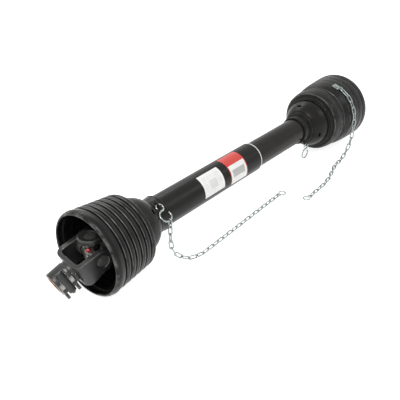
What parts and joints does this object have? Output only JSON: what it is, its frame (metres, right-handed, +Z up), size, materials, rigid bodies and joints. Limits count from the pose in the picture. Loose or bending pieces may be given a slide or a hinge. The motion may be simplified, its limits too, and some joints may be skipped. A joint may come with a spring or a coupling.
{
  "type": "pto drive shaft",
  "caption": "Guarded telescoping drive shaft with a universal joint and a quick-fit yoke at each end, ribbed cones, a tube guard and retaining chains; carries turning power to a machine.",
  "frame": {"origin": "middle of the shaft's length, on the floor under the guard cones", "axes": "+X along the shaft from the near end to the far end, +Z up, the chains lie towards -Y"},
  "size_m": [1.067, 0.239, 0.182],
  "materials": {
    "guard_plastic": "satin",
    "inner_guard_plastic": "satin",
    "cone_plastic": "matte",
    "pale_ring": "matte",
    "bearing_plastic": "satin",
    "zinc_chain": "satin",
    "screw_steel": "satin",
    "tube_steel": "oiled",
    "forged_yoke": "satin",
    "bearing_steel": "satin",
    "black_steel": "satin",
    "seal_rubber": "matte",
    "nipple_steel": "satin",
    "cap_red": "gloss",
    "button_steel": "satin",
    "spring_steel": "satin"
  },
  "bodies": {
    "near_guard": {"near_guard_tube": "guard_plastic", "tube_end_ring": "pale_ring", "near_guard_base": "guard_plastic", "near_bellows": "cone_plastic", "near_bearing_ring": "bearing_plastic", "near_guard_screws": "screw_steel", "near_chain_hook": "zinc_chain", "near_chain": "zinc_chain", "near_chain_end_hook": "zinc_chain"},
    "near_shaft": {"outer_profile_tube": "tube_steel", "near_tube_yoke": "forged_yoke", "near_roll_pin": "black_steel", "near_root_cups": "bearing_steel", "near_root_clips": "black_steel"},
    "near_cross": {"near_cross": "bearing_steel", "near_cup_seals": "seal_rubber", "near_grease_nipple": "nipple_steel", "near_grease_cap": "cap_red"},
    "near_yoke": {"near_yoke": "forged_yoke", "near_yoke_cups": "bearing_steel", "near_yoke_clips": "black_steel", "near_pin_ring": "spring_steel", "near_pin_spring": "spring_steel"},
    "near_push_pin": {"near_push_pin": "button_steel"},
    "far_shaft": {"inner_profile_tube": "tube_steel", "far_tube_yoke": "forged_yoke", "far_roll_pin": "black_steel", "far_root_cups": "bearing_steel", "far_root_clips": "black_steel"},
    "far_guard": {"far_guard_tube": "inner_guard_plastic", "far_guard_base": "guard_plastic", "far_bellows": "cone_plastic", "far_bearing_ring": "bearing_plastic", "far_guard_screws": "screw_steel", "far_chain_plate": "zinc_chain", "far_plate_rivet": "screw_steel", "far_chain_loop": "zinc_chain", "far_chain": "zinc_chain", "far_chain_end_hook": "zinc_chain", "far_chain_hook": "zinc_chain"},
    "far_cross": {"far_cross": "bearing_steel", "far_cup_seals": "seal_rubber", "far_grease_nipple": "nipple_steel", "far_grease_cap": "cap_red"},
    "far_yoke": {"far_yoke": "forged_yoke", "far_yoke_cups": "bearing_steel", "far_yoke_clips": "black_steel", "far_pin_ring": "spring_steel", "far_pin_spring": "spring_steel"},
    "far_push_pin": {"far_push_pin": "button_steel"}
  },
  "joints": [
    {"name": "near_guard_spin", "type": "hinge", "parent": "near_guard", "child": "near_shaft", "pos_m": [-0.44027, 0, 0.091], "axis": [1, 0, 0], "continuous": true},
    {"name": "telescope", "type": "slide", "parent": "near_shaft", "child": "far_shaft", "axis": [1, 0, 0], "range_m": [-0.185, 0.15]},
    {"name": "far_guard_spin", "type": "hinge", "parent": "far_shaft", "child": "far_guard", "pos_m": [0.44273, 0, 0.091], "axis": [1, 0, 0], "continuous": true},
    {"name": "near_cross_turn", "type": "hinge", "parent": "near_shaft", "child": "near_cross", "pos_m": [-0.44027, 0, 0.091], "axis": [0, 0, 1], "range_deg": [-22, 38]},
    {"name": "near_yoke_tilt", "type": "hinge", "parent": "near_cross", "child": "near_yoke", "pos_m": [-0.44027, 0, 0.091], "axis": [0.1392, 0.9903, 0], "range_deg": [-8, 52]},
    {"name": "near_pin_push", "type": "slide", "parent": "near_yoke", "child": "near_push_pin", "axis": [-0.2517, 0.5403, 0.803], "range_m": [0, 0.007], "stiffness_N_per_m": 900, "springref_m": -0.008, "deforming": ["near_pin_spring"]},
    {"name": "far_cross_turn", "type": "hinge", "parent": "far_shaft", "child": "far_cross", "pos_m": [0.44273, 0, 0.091], "axis": [0, 0, 1], "range_deg": [-30, 30]},
    {"name": "far_yoke_tilt", "type": "hinge", "parent": "far_cross", "child": "far_yoke", "pos_m": [0.44273, 0, 0.091], "axis": [0, 1, 0], "range_deg": [-30, 30]},
    {"name": "far_pin_push", "type": "slide", "parent": "far_yoke", "child": "far_push_pin", "axis": [0, -0.5, 0.866], "range_m": [0, 0.007], "stiffness_N_per_m": 900, "springref_m": -0.008, "deforming": ["far_pin_spring"]}
  ]
}
